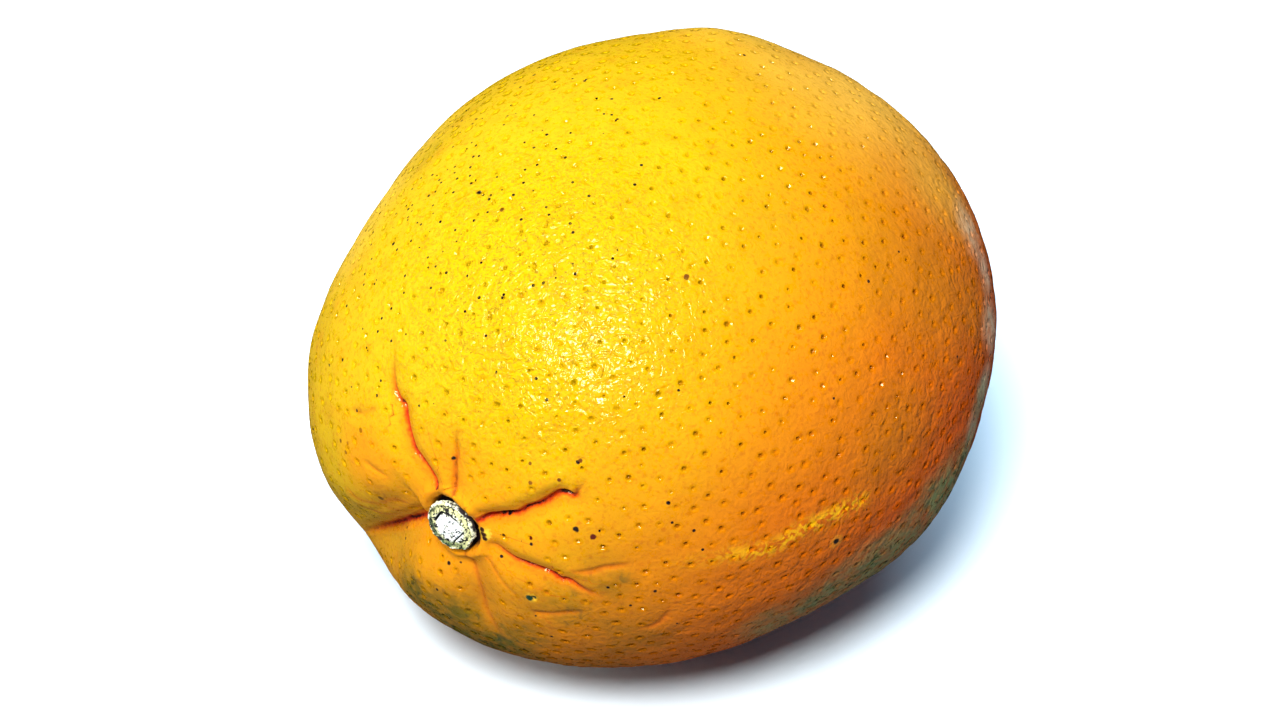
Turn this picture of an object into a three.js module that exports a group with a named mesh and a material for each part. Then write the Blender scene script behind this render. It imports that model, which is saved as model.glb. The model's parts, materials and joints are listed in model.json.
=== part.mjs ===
// A whole orange lying on its side, with the stem button in the dimple of its stem end.
// Units are millimetres, +Z is up, and the stem end faces -Y. The origin is the middle of the small flat
// spot that the fruit rests on.
import * as THREE from 'three';
import { ConvexGeometry } from 'three/addons/geometries/ConvexGeometry.js';
import { mergeVertices } from 'three/addons/utils/BufferGeometryUtils.js';

// Driving dimensions of the body: an ellipsoid, longest along the stem axis and lowest across it.
const halfLength = 44.1;
const halfWidth = 38.3;
const halfHeight = 34.2;

// The fruit has settled on its underside. The spot lies a little nearer the stem end than its middle.
const centreHeight = 33.8;
const centreBehindSpot = 1.9;
const spotSides = 32;
const spotSearchReach = 20;
const spotSearchSteps = 40;
const pressedWithin = 0.001;

// Broad swellings and hollows of the body. Each has its middle, given by its polar angle from the stem axis
// and its angle around that axis from straight up, its height in mm, and its spread in degrees.
const swellings = [
  { name: 'flattened stem end', polar: 0, around: 0, height: -2.0, spread: 26 },
  { name: 'dimple', polar: 0, around: 0, height: -1.4, spread: 8 },
  { name: 'shoulder below the stem end', polar: 39, around: -162, height: 1.8, spread: 35 },
  { name: 'flat of one side', polar: 70, around: -65, height: -1.7, spread: 25 },
  { name: 'bulge of the other side', polar: 95, around: 114, height: 1.5, spread: 17 },
  { name: 'crown behind the top', polar: 122, around: -6, height: 1.4, spread: 11 },
  { name: 'broad far shoulder', polar: 122, around: 79, height: 1.1, spread: 35 },
  { name: 'shoulder beside the dimple', polar: 49, around: -94, height: 0.6, spread: 19 },
  { name: 'blossom end hollow', polar: 180, around: 0, height: -0.7, spread: 5 },
];

// Creases that run out from the stem button, each as [polar, around] points in degrees from its inner end.
// A crease is a rounded valley of a given half width with a sharp fold along its bottom, and it keeps its depth
// up to the given share of its length. Beside some of them the rind swells into a lip, on the side that its
// sign gives: + is clockwise as the eye sees the stem end.
const creases = [
  { name: 'long upper', valley: 0.7, width: 2.4, fold: 0.7, lip: 0.2, full: 0.4,
    path: [[6.5, -31], [13, -36], [20, -34], [25, -37], [33, -34]] },
  { name: 'short upper', valley: 0.4, width: 1.8, fold: 0.5, lip: 0, full: 0.4,
    path: [[6.5, 4], [13, 1], [18, 0]] },
  { name: 'lipped', valley: 0.8, width: 2.4, fold: 0.9, lip: -0.5, full: 0.5,
    path: [[6.5, 59], [13, 61], [19, 59], [23, 61], [27, 56]] },
  { name: 'lower', valley: 0.6, width: 2.2, fold: 0.7, lip: -0.2, full: 0.4,
    path: [[6.5, 98], [12, 102], [16, 101], [20, 103], [26, 106]] },
  { name: 'underside', valley: 0.9, width: 3.0, fold: 0.5, lip: 0, full: 0.4,
    path: [[6.5, 160], [13, 162], [18, 165], [27, 166]] },
  { name: 'deep side', valley: 2.9, width: 4.4, fold: 1.4, lip: 0.4, full: 0.7,
    path: [[6.5, -113], [12, -122], [19, -125], [30, -128], [46, -130]] },
];
const foldHalfWidth = 0.9;
const lipOffset = 2.2;
const lipWidth = 1.3;
const samplesPerCrease = 60;

// The old rub mark, a low ridge along one side.
const rubRidge = { height: 0.35, width: 1.2, path: [[33, 91], [45, 90], [56, 89], [71, 89]] };

// Seat of the stem button in the dimple: a round pocket with sloping sides.
const seatDepth = 1.1;
const seatRadius = 4.0;
const seatLip = 5.4;

// Rind: oil-gland pits, kept apart from each other, and the points between them that carry the surface.
// Both lie closer together round the stem end.
const rindSeed = 20;
const pitDepth = 0.3;
const pitWidth = 0.7;
const pitSpacing = 2.9;
const stemEndPitSpacing = 2.2;
const pointSpacing = 1.6;
const stemEndPointSpacing = 1.1;
const stemEndPolar = 12;
const farPolar = 60;
const scatterTries = 60000;

// Stem button: a lobed disc with a rolled rim round the scar of the cut stem.
const buttonGap = 0.3;
const buttonRadius = 3.6;
const buttonThickness = 1.5;
const buttonSides = 30;
const lobeCount = 5;
const lobeDepth = 0.25;
const roughHeight = 0.09;

const degree = Math.PI / 180;
const stemAxis = new THREE.Vector3(0, -1, 0);

// Unit vector at a polar angle from the stem axis and an angle around it, both in degrees.
function direction(polar, around) {
  const across = Math.sin(polar * degree);
  return new THREE.Vector3(
    across * Math.sin(around * degree),
    -Math.cos(polar * degree),
    across * Math.cos(around * degree),
  );
}

function smoothStep(low, high, value) {
  return THREE.MathUtils.smoothstep(value, low, high);
}

function hump(distance, width) {
  return Math.exp(-((distance / width) ** 2));
}

// A repeatable random number from 0 to 1, from a small linear congruential generator.
function makeRandom(seed) {
  const modulus = 2147483647;
  const multiplier = 48271;
  let state = seed;
  return () => {
    state = (state * multiplier) % modulus;
    return state / modulus;
  };
}

// Distance from the fruit's centre to its plain body, without creases or pits.
const swellingShapes = swellings.map((swelling) => ({
  ...swelling,
  middle: direction(swelling.polar, swelling.around),
}));

function bodyRadius(unit) {
  const stretched = Math.hypot(unit.x / halfWidth, unit.y / halfLength, unit.z / halfHeight);
  let radius = 1 / stretched;
  for (const swelling of swellingShapes) {
    const angle = unit.angleTo(swelling.middle) / degree;
    radius += swelling.height * hump(angle, swelling.spread);
  }
  return radius;
}

// Points along a path on the unit sphere, each with how far along the path it is, from 0 to 1.
function samplePath(path, count) {
  const corners = path.map(([polar, around]) => direction(polar, around));
  const curve = new THREE.CatmullRomCurve3(corners);
  const points = curve.getPoints(count);
  return points.map((point, index) => ({ point: point.normalize(), along: index / count }));
}

// How far along a path a unit vector lies, and how far off it, + to the side that a lip of + height takes.
function placeBeside(samples, unit) {
  let nearest = 1;
  let least = Infinity;
  samples.forEach((sample, index) => {
    const distance = sample.point.distanceToSquared(unit);
    if (distance < least) {
      least = distance;
      nearest = Math.max(1, index);
    }
  });
  const { point, along } = samples[nearest];
  const side = new THREE.Vector3().crossVectors(point, samples[nearest - 1].point);
  const offset = new THREE.Vector3().subVectors(unit, point);
  return { along, offset: Math.sqrt(least) * Math.sign(side.dot(offset)) };
}

const creaseShapes = creases.map((crease) => ({ ...crease, samples: samplePath(crease.path, samplesPerCrease) }));
const ridgeSamples = samplePath(rubRidge.path, samplesPerCrease);

// Valleys with a fold along the bottom and a lip beside it, fading towards their outer ends.
function creaseRelief(unit, radius) {
  let relief = 0;
  for (const crease of creaseShapes) {
    const { along, offset } = placeBeside(crease.samples, unit);
    const offPath = offset * radius;
    const strength = 1 - smoothStep(crease.full, 1, along);
    const valley = crease.valley * hump(offPath, crease.width);
    const fold = crease.fold * Math.max(0, 1 - Math.abs(offPath) / foldHalfWidth);
    const lip = Math.abs(crease.lip) * hump(offPath - Math.sign(crease.lip) * lipOffset, lipWidth);
    relief += strength * (lip - valley - fold);
  }
  return relief;
}

function ridgeRelief(unit, radius) {
  const { along, offset } = placeBeside(ridgeSamples, unit);
  const strength = Math.sin(Math.PI * along);
  return rubRidge.height * strength * hump(offset * radius, rubRidge.width);
}

function seatRelief(unit, radius) {
  if (unit.y > 0) {
    return 0;
  }
  const offAxis = radius * Math.hypot(unit.x, unit.z);
  return -seatDepth * (1 - smoothStep(seatRadius, seatLip, offAxis));
}

function pitRelief(unit, radius, pits) {
  let least = Infinity;
  for (const pit of pits) {
    least = Math.min(least, pit.distanceToSquared(unit));
  }
  return -pitDepth * hump(Math.sqrt(least) * radius, pitWidth);
}

// Surface points in even rings round the stem button, which keep its seat round.
function seatPoints() {
  const rings = [
    { radius: 0, count: 1 },
    { radius: 1.5, count: 7 },
    { radius: 2.8, count: 13 },
    { radius: seatRadius, count: 22 },
    { radius: seatLip, count: 28 },
  ];
  const reach = bodyRadius(stemAxis);
  const points = [];
  for (const { radius, count } of rings) {
    const polar = Math.asin(radius / reach) / degree;
    for (let index = 0; index < count; index += 1) {
      points.push(direction(polar, (360 * index) / count));
    }
  }
  return points;
}

// Surface points round the rim of the flat spot, where the plain body meets the surface that it rests on.
// Each is found by halving a line that runs out from the middle of the spot.
function spotRimPoints() {
  const points = [];
  for (let index = 0; index < spotSides; index += 1) {
    const turn = (360 * degree * index) / spotSides;
    let inside = 0;
    let outside = spotSearchReach;
    let rim = new THREE.Vector3();
    for (let step = 0; step < spotSearchSteps; step += 1) {
      const reach = (inside + outside) / 2;
      rim = new THREE.Vector3(reach * Math.sin(turn), reach * Math.cos(turn) - centreBehindSpot, -centreHeight);
      const isInside = bodyRadius(rim.clone().normalize()) > rim.length();
      inside = isInside ? reach : inside;
      outside = isInside ? outside : reach;
    }
    points.push(rim.normalize());
  }
  return points;
}

// Surface points in rows along the bottom, the fold and the shoulders of a crease, which keep it crisp.
function creasePoints(crease) {
  const rows = [0, foldHalfWidth, -foldHalfWidth, crease.width, -crease.width];
  const length = crease.samples[0].point.angleTo(crease.samples.at(-1).point) * halfLength;
  const steps = Math.round(length / stemEndPointSpacing);
  const points = [];
  for (let step = 1; step < steps; step += 1) {
    const index = Math.round((step / steps) * samplesPerCrease);
    const before = crease.samples[index - 1].point;
    const here = crease.samples[index].point;
    const side = new THREE.Vector3().crossVectors(here, before).normalize();
    for (const row of rows) {
      points.push(here.clone().addScaledVector(side, row / halfLength).normalize());
    }
  }
  return points;
}

function spacingAt(unit, nearSpacing, farSpacing) {
  const polar = unit.angleTo(stemAxis) / degree;
  const spacing = THREE.MathUtils.mapLinear(polar, stemEndPolar, farPolar, nearSpacing, farSpacing);
  return THREE.MathUtils.clamp(spacing, nearSpacing, farSpacing) / bodyRadius(unit);
}

// Random points on the unit sphere, each kept only if it is clear of all the points so far.
function scatter(taken, nearSpacing, farSpacing, random) {
  const added = [];
  const all = [...taken];
  for (let tried = 0; tried < scatterTries; tried += 1) {
    const around = 360 * random();
    const height = 2 * random() - 1;
    const unit = direction(Math.acos(height) / degree, around);
    const clearance = spacingAt(unit, nearSpacing, farSpacing) ** 2;
    const isClear = all.every((point) => point.distanceToSquared(unit) > clearance);
    if (isClear) {
      all.push(unit);
      added.push(unit);
    }
  }
  return added;
}

// All the points lie on a sphere, so their hull joins each to its natural neighbours.
function netOf(points) {
  const hull = new ConvexGeometry(points);
  hull.deleteAttribute('normal');
  return mergeVertices(hull, 1e-6);
}

function fruitGeometry() {
  const random = makeRandom(rindSeed);
  const guides = [...seatPoints(), ...spotRimPoints(), ...creaseShapes.flatMap(creasePoints)];
  const pits = scatter(guides, stemEndPitSpacing, pitSpacing, random);
  const placed = [...guides, ...pits];
  const between = scatter(placed, stemEndPointSpacing, pointSpacing, random);
  const geometry = netOf([...placed, ...between]);
  const position = geometry.attributes.position;
  for (let vertex = 0; vertex < position.count; vertex += 1) {
    const unit = new THREE.Vector3().fromBufferAttribute(position, vertex).normalize();
    const body = bodyRadius(unit);
    const form = creaseRelief(unit, body) + ridgeRelief(unit, body) + seatRelief(unit, body);
    const radius = body + form + pitRelief(unit, body, pits);
    const isPressed = unit.z * (body + form) < -centreHeight + pressedWithin;
    const height = isPressed ? -centreHeight : unit.z * radius;
    position.setXYZ(vertex, unit.x * radius, unit.y * radius + centreBehindSpot, height + centreHeight);
  }
  return geometry;
}

// Half outline of the stem button, from the middle of its underside to the middle of its face, as
// [share of its radius, share of its thickness].
function buttonOutline() {
  const shares = [
    [0, 0],
    [0.6, 0],
    [0.9, 0.15],
    [1, 0.5],
    [0.96, 0.85],
    [0.84, 1],
    [0.7, 0.92],
    [0.56, 0.76],
    [0.42, 0.84],
    [0.28, 0.9],
    [0, 0.86],
  ];
  return shares.map(([across, up]) => new THREE.Vector2(across * buttonRadius, up * buttonThickness));
}

function buttonGeometry() {
  const lathe = new THREE.LatheGeometry(buttonOutline(), buttonSides);
  lathe.deleteAttribute('normal');
  lathe.deleteAttribute('uv');
  const geometry = mergeVertices(lathe, 1e-4);
  const random = makeRandom(rindSeed);
  const position = geometry.attributes.position;
  for (let vertex = 0; vertex < position.count; vertex += 1) {
    const point = new THREE.Vector3().fromBufferAttribute(position, vertex);
    const outwards = Math.hypot(point.x, point.z) / buttonRadius;
    const turn = Math.atan2(point.x, point.z);
    const notch = (lobeDepth / buttonRadius) * outwards * (0.5 - 0.5 * Math.cos(lobeCount * turn));
    const rough = (roughHeight / buttonThickness) * point.y * (2 * random() - 1);
    position.setXYZ(vertex, point.x * (1 - notch), point.y + rough, point.z * (1 - notch));
  }
  return geometry;
}

function pieceMaterial(name, color, roughness) {
  return new THREE.MeshStandardMaterial({ name, color, roughness, metalness: 0 });
}

function makeFruit() {
  const fruit = new THREE.Mesh(fruitGeometry(), pieceMaterial('rind', 0xf59d0e, 0.42));
  fruit.name = 'fruit';
  return fruit;
}

// The button's underside keeps a small gap to the floor of its seat, and its face looks along the stem axis.
function makeStemButton() {
  const button = new THREE.Mesh(buttonGeometry(), pieceMaterial('stem_wood', 0xc4c79c, 0.8));
  const seatFloor = bodyRadius(stemAxis) - seatDepth;
  button.name = 'stem_button';
  button.rotation.x = Math.PI;
  button.position.set(0, centreBehindSpot - seatFloor - buttonGap, centreHeight);
  return button;
}

const orange = new THREE.Group();
orange.name = 'orange';
orange.add(makeFruit());
orange.add(makeStemButton());

export default orange;
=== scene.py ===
import json
import math

import bpy
import numpy as np
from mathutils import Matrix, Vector, kdtree

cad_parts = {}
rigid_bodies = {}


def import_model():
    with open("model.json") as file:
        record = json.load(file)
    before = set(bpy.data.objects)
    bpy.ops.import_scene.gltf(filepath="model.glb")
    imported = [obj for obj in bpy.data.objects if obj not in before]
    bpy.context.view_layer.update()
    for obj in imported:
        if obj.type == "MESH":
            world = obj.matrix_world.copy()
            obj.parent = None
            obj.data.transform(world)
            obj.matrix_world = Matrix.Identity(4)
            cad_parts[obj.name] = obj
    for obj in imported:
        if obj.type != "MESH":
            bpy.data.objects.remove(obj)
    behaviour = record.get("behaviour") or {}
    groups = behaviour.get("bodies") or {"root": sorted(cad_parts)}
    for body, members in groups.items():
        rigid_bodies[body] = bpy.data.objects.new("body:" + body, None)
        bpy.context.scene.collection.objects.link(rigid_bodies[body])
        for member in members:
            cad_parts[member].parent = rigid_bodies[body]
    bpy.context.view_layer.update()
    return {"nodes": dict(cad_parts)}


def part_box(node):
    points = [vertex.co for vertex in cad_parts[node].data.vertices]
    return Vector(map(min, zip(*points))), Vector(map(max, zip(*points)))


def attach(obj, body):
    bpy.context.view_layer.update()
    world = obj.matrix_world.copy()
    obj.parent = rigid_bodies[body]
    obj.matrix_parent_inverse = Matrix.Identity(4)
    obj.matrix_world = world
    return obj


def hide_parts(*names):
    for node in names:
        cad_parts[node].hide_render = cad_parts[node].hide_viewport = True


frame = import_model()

mm = 0.001
fruitCentre = np.array((0.0, 1.9, 33.8)) * mm    # places on the rind are given as directions from here
farAway = 9.0    # mm, for a point that no path, cut or neighbour comes near, or that is on the far half


def pick(piece):
    bpy.ops.object.select_all(action='DESELECT')
    piece.select_set(True)
    bpy.context.view_layer.objects.active = piece


def pointsOf(piece):
    points = np.empty(len(piece.data.vertices) * 3, np.float32)
    piece.data.vertices.foreach_get("co", points)
    return points.reshape(-1, 3).astype(float)


def openEdit(piece, chosen):    # edit mode, with only these vertices selected
    pick(piece)
    bpy.ops.object.mode_set(mode='EDIT')
    bpy.ops.mesh.select_mode(type='VERT')
    bpy.ops.mesh.select_all(action='DESELECT')
    bpy.ops.object.mode_set(mode='OBJECT')
    piece.data.vertices.foreach_set("select", np.asarray(chosen, bool))
    bpy.ops.object.mode_set(mode='EDIT')


def closeEdit():
    bpy.ops.object.mode_set(mode='OBJECT')


def selectedOf(piece):
    chosen = np.empty(len(piece.data.vertices), bool)
    piece.data.vertices.foreach_get("select", chosen)
    return chosen


def runModifier(piece, kind, **settings):
    pick(piece)
    modifier = piece.modifiers.new(kind.lower(), kind)
    for name, value in settings.items():
        setattr(modifier, name, value)
    bpy.ops.object.modifier_apply(modifier=modifier.name)


def paintWeights(piece, name, weights):    # a vertex group with weights from 0 to 1
    group = piece.vertex_groups.new(name=name)
    shades = 500
    steps = np.round(np.clip(weights, 0, 1) * shades).astype(int)
    for step in np.unique(steps[steps > 0]):
        group.add(np.nonzero(steps == step)[0].tolist(), float(step) / shades, 'REPLACE')


def refine(piece, chosen):    # smaller faces at these vertices, and triangles all over
    openEdit(piece, chosen)
    bpy.ops.mesh.subdivide(number_cuts=1)
    bpy.ops.mesh.select_all(action='SELECT')
    bpy.ops.mesh.quads_convert_to_tris()
    closeEdit()


def smoothWhere(piece, name, weights, rounds):
    paintWeights(piece, name, weights)
    runModifier(piece, 'SMOOTH', factor=0.5, iterations=rounds, vertex_group=name)


def pushWhere(piece, name, weights, distance, way='NORMAL'):    # by this many mm where the weight is 1
    paintWeights(piece, name, weights)
    runModifier(piece, 'DISPLACE', direction=way, strength=distance * mm, mid_level=0, vertex_group=name)


def roughenWhere(piece, name, weights, kind, height, size, **settings):    # out and in by half the height
    pattern = bpy.data.textures.new(name, kind)
    pattern.noise_scale = size * mm
    for setting, value in settings.items():
        setattr(pattern, setting, value)
    paintWeights(piece, name, weights)
    runModifier(piece, 'DISPLACE', texture=pattern, texture_coords='LOCAL', strength=height * mm,
                mid_level=0.5, vertex_group=name)


def storeValues(piece, name, values):    # a named value on each vertex, for the materials
    attribute = piece.data.attributes.new(name, 'FLOAT', 'POINT')
    attribute.data.foreach_set("value", np.asarray(values, np.float32))


def direction(polar, around):    # degrees from the stem end, and round the stem from straight up
    polar, around = math.radians(polar), math.radians(around)
    sideways = math.sin(polar)
    return np.array((sideways * math.sin(around), -math.cos(polar), sideways * math.cos(around)))


def turnFrom(turn, middle):    # the turn round the stem from one angle to another, from -180 to 180 degrees
    return (turn - middle + 180) % 360 - 180


def smoothStep(low, high, value):
    share = np.clip((value - low) / (high - low), 0, 1)
    return share * share * (3 - 2 * share)


def hump(distance, width):
    return np.exp(-(distance / width) ** 2)


# Each crease runs out from the stem button through (polar, around) points. Its valley is wide and soft and
# its fold narrow and sharp, with depths and width in mm. Some have a swollen lip on one side; + is clockwise
# as the eye sees the stem end. Past the share "full" of its length it dies away.
creases = {
    "longUpper": {"valley": 0.35, "fold": 0.55, "width": 2.0, "lip": 0.25, "full": 0.55, "path": [
        (6, -31), (8, -31), (11, -34), (13, -37), (16, -36), (18, -35), (20, -34), (21, -36), (23, -37),
        (25, -36), (28, -34), (33, -34)]},
    "shortUpper": {"valley": 0.3, "fold": 0.32, "width": 1.6, "lip": 0, "full": 0.5, "path": [
        (6, 6), (7, 3), (11, 1), (13, 1.5), (16, 0), (19, 0)]},
    "lipped": {"valley": 0.3, "fold": 0.7, "width": 1.7, "lip": -0.35, "full": 0.75, "path": [
        (5, 58), (8, 60), (11, 61), (13, 62), (15, 60), (17, 60), (19, 59), (21, 58), (22, 59), (23, 61),
        (24, 59), (27, 56)]},
    "lower": {"valley": 0.45, "fold": 0.6, "width": 2.0, "lip": -0.25, "full": 0.7, "fadeIn": 0.35, "path": [
        (6, 97), (8, 99), (11, 102), (14, 101), (17, 101), (19, 103), (20, 102), (23, 104), (27, 106)]},
    "underside": {"valley": 0.9, "fold": 0.2, "width": 2.8, "lip": 0, "full": 0.5, "path": [
        (5, 158), (7, 160), (10, 160), (13, 162), (17, 165), (20, 165), (24, 165), (28, 166)]},
    "deepSide": {"valley": 2.4, "fold": 1.0, "width": 4.2, "lip": 0.4, "full": 0.7, "path": [
        (5, -106), (7, -114), (8, -117), (10, -120), (12, -122), (16, -124), (19, -125), (24, -127),
        (30, -128), (38, -129), (46, -130)]},
    "finePair": {"valley": 0.12, "fold": 0.14, "width": 1.2, "lip": 0, "full": 0.5, "path": [
        (7, 122), (8, 124), (9, 126), (11, 130), (15, 131), (19, 134)]},
}
# Short wrinkles that begin and end on the open rind: depth in mm, and the path.
wrinkles = {
    "lobeOuter": (0.24, [(24, -98), (22.5, -102), (21.3, -106), (17.5, -106), (13.4, -99), (10.9, -101),
                         (9.3, -107)]),
    "lobeInner": (0.22, [(24.5, -108), (22.6, -111), (20.8, -115), (17.6, -116.5), (14.5, -115)]),
    "lobeCross": (0.18, [(17.1, -104), (16.1, -109), (14, -112), (12, -116)]),
    "lobeFine": (0.15, [(18.5, -77), (16.9, -76), (14.6, -75), (12.4, -74), (11, -72)]),
    "pinched": (0.15, [(25, -64), (23.9, -63), (22, -57), (21.5, -51), (21, -46)]),
    "lowFine": (0.24, [(19, 95), (21, 95), (23.1, 94), (24.8, 92), (26.4, 91), (28.6, 90), (30.7, 89)]),
    "lowHook": (0.20, [(16.5, 127), (18, 132), (20, 127), (21.8, 121), (23.5, 117), (24.8, 114)]),
    "lowCurl": (0.18, [(33, 117), (34.7, 116), (35.8, 113), (36.1, 109), (36.1, 103)]),
}
creaseShape = {
    "foldWidth": 0.55, "lipOffset": 1.7, "lipWidth": 1.1,    # mm
    "valleyShare": 0.5,
    "strongFold": 0.55, "strongCurve": 1.5,    # a fold this deep takes the full colour, others less
    "reach": 8.9,        # mm to either side
    "faint": 0.01,       # a fold weaker than this isn't modelled finer
    "fadeIn": 0.001,     # share of the length, where a crease doesn't give its own
}
wrinkleShape = {"valley": 0.12, "width": 1.0, "full": 0.6, "fadeIn": 0.3}
wrinkleLip = 0.6    # against the fold's depth
pathSteps = 160

# The old rub mark along one side, which shows in the colour.
rubPath = [(30, 92), (33, 91), (39, 90), (45, 90), (50, 91), (54, 90), (56, 89), (60, 89), (63, 89), (67, 89),
           (72, 89)]


def smoothPath(corners):    # even steps along a soft curve through the corners, as directions
    corners = np.array([direction(*corner) for corner in corners])
    ends = np.vstack((2 * corners[0] - corners[1], corners, 2 * corners[-1] - corners[-2]))
    place = np.linspace(0, len(corners) - 1, pathSteps)
    index = np.minimum(place.astype(int), len(corners) - 2)
    t = (place - index)[:, None]
    a, b, c, d = ends[index], ends[index + 1], ends[index + 2], ends[index + 3]
    bend = (2 * a - 5 * b + 4 * c - d) * t ** 2 + (3 * b - a - 3 * c + d) * t ** 3
    curve = 0.5 * (2 * b + (c - a) * t + bend)
    return curve / np.linalg.norm(curve, axis=1)[:, None]


def growTree(points):    # finds the nearest of these points
    tree = kdtree.KDTree(len(points))
    for index, point in enumerate(points):
        tree.insert(Vector(point), index)
    tree.balance()
    return tree


def besidePath(units, radii, path):    # how far along a path each point is, and how far off it, in mm
    tree = growTree(path)
    reach = farAway * mm / radii.mean()
    tangents = np.gradient(path, axis=0)
    sides = np.cross(path, -tangents)
    sides /= np.linalg.norm(sides, axis=1)[:, None]
    along = np.ones(len(units))
    offset = np.full(len(units), farAway)
    middle = path.mean(0)
    spread = np.linalg.norm(path - middle, axis=1).max() + reach
    for index in np.nonzero(np.linalg.norm(units - middle, axis=1) < spread)[0]:
        _, nearest, distance = tree.find(Vector(units[index]))
        if distance < reach:
            side = 1 if np.dot(sides[nearest], units[index] - path[nearest]) > 0 else -1
            along[index] = nearest / (len(path) - 1)
            offset[index] = side * distance * radii[index] / mm
    return along, offset


def rindPlaces(piece):
    away = pointsOf(piece) - fruitCentre
    radii = np.linalg.norm(away, axis=1)
    return away / radii[:, None], radii


yellowAndLitWay = np.array((-0.508, -0.462, 0.727))    # the side of the fruit that is yellowest, up and towards the lamps: partly its own colour, partly painted light
yellowAndLitReach = 39             # mm that way from the middle of the fruit to its surface
lowRange = (0.35, -0.45)    # along that way, from the edge of the yellow, lit side to the dark rust underside, which is partly painted shade

fruitPlan = {
    "startHalfSizes": (38.3, 44.1, 34.2),    # mm
    "ballLevels": 7,
    "mergeGap": 0.001,             # mm
    "settleRounds": 26, "seatSettle": 0.06,    # smoothing that takes out the solid's coarse facets and pits
    "settleHeight": (0.05, 1.0),   # mm above the table where it comes in
    "seatReach": 6.4,              # mm from the stem axis
    "seatSteps": (0, 1.2),         # mm less at each refining of the seat
    "mouldSeat": (1.1, 4.0, 5.4),  # depth, radius and lip of the solid's seat
    "wallRadius": 3.28, "wallSlope": 0.20,
    "wallWander": 0.04, "wallWaves": (3, 7), "wallPhase": 40,    # mm, waves in one turn, degrees
    "wallGaps": ((0, 12, 0.16), (115, 13, 0.24)),    # around, spread in degrees, extra radius
    "collarRise": 0.55, "collarRadius": 4.2, "collarWidth": 1.2,
    "softenRounds": 12,
    "softenOutside": 0.6, "softenInside": 0.5,    # mm past the seat's reach, and off the wall
    "creaseStart": (3.6, 5.6),     # mm from the stem axis where the creases come in
    "creaseReaches": (2.2, 1.1),   # mm from a fold where the rind is modelled finer, and finer again
    "blossomDepth": 0.5, "blossomWidth": 2.6,
    "waveHeight": 0.26, "waveSize": 7.0,
    "waveLift": (0.4, 4), "pebbleLift": (0.6, 3),    # mm above the table where they come in
    "pebbleHeight": 0.26, "pebbleSize": 1.7,
    "pebbleStart": (4.5, 9),       # mm from the stem axis
    "pebbleTop": 0.12,             # the share that is left on the yellow side
    "pitSizes": (0.45, 0.34, 0.25),    # mm, from large to small
    "pitDepths": (0.34, 0.24, 0.15),
    "pitShares": (0.35, 0.4, 0.25),
    "pitSpacing": 1.95, "pitScatter": (0.8, 1.25),
    "pitRest": 1.2, "pitFold": 0.5,    # mm kept from the table and from a fold
    "pitEdge": 0.5,                # mm: the shortest edge that still has room for a pit
    "pitSeed": 7, "pitTone": (0.3, 1), "pitToneCurve": 1.5,    # how dark each pit's colour is
    "rubFade": (0.05, 0.45, 0.9),  # shares of its length: where it starts, is full and begins to fade
    "rubWidth": 1.0, "foldGlow": 3.0,    # mm that the rub's and a fold's colours reach
    # where painted shade darkens the gap round the button
    "seatShade": {"past": 0.07, "soft": 0.14, "waver": 0.05, "waves": (5, 13),
                  "side": -55, "sideSpread": 38, "sideLess": 0.16},
}


def lowSide(units):    # 1 on the rusty underside, 0 on the yellow top
    return smoothStep(*lowRange, units @ yellowAndLitWay)


def aroundStem(piece):    # distance from the stem axis in mm, and the angle round it, on the stem side
    points = pointsOf(piece) / mm
    across = points - fruitCentre / mm
    offAxis = np.hypot(across[:, 0], across[:, 2])
    offAxis[across[:, 1] > 0] = farAway
    return offAxis, np.degrees(np.arctan2(across[:, 0], across[:, 2]))


def withGaps(edge, turn):    # the seat is a little wider where the button is notched
    for middle, spread, extra in fruitPlan["wallGaps"]:
        edge = edge + extra * hump(turnFrom(turn, middle), spread)
    return edge


def wrapBall(plan):
    bpy.ops.object.select_all(action='DESELECT')
    bpy.ops.mesh.primitive_ico_sphere_add(subdivisions=plan["ballLevels"], radius=1, location=(0, 0, 0))
    fruit = bpy.context.object
    fruit.name = fruit.data.name = "orangeFruit"
    bpy.ops.object.mode_set(mode='EDIT')
    bpy.ops.mesh.select_all(action='SELECT')
    bpy.ops.transform.resize(value=[half * mm for half in plan["startHalfSizes"]])
    bpy.ops.transform.translate(value=tuple(fruitCentre))
    closeEdit()
    mould = bpy.data.objects.new("fruitMould", frame["nodes"]["fruit"].data.copy())
    bpy.context.scene.collection.objects.link(mould)
    openEdit(mould, np.ones(len(mould.data.vertices)))
    bpy.ops.mesh.remove_doubles(threshold=plan["mergeGap"] * mm)
    closeEdit()
    runModifier(fruit, 'SHRINKWRAP', target=mould, wrap_method='PROJECT', use_negative_direction=True,
                use_positive_direction=True)
    bpy.data.objects.remove(mould)
    return fruit


def settleSurface(fruit, plan):    # smooth, but keep the seat of the button and the flat spot
    height = pointsOf(fruit)[:, 2] / mm
    offAxis, _ = aroundStem(fruit)
    lifted = smoothStep(*plan["settleHeight"], height)
    weights = np.where(offAxis < plan["seatReach"], plan["seatSettle"], 1.0) * lifted
    smoothWhere(fruit, "settle", weights, plan["settleRounds"])


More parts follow.
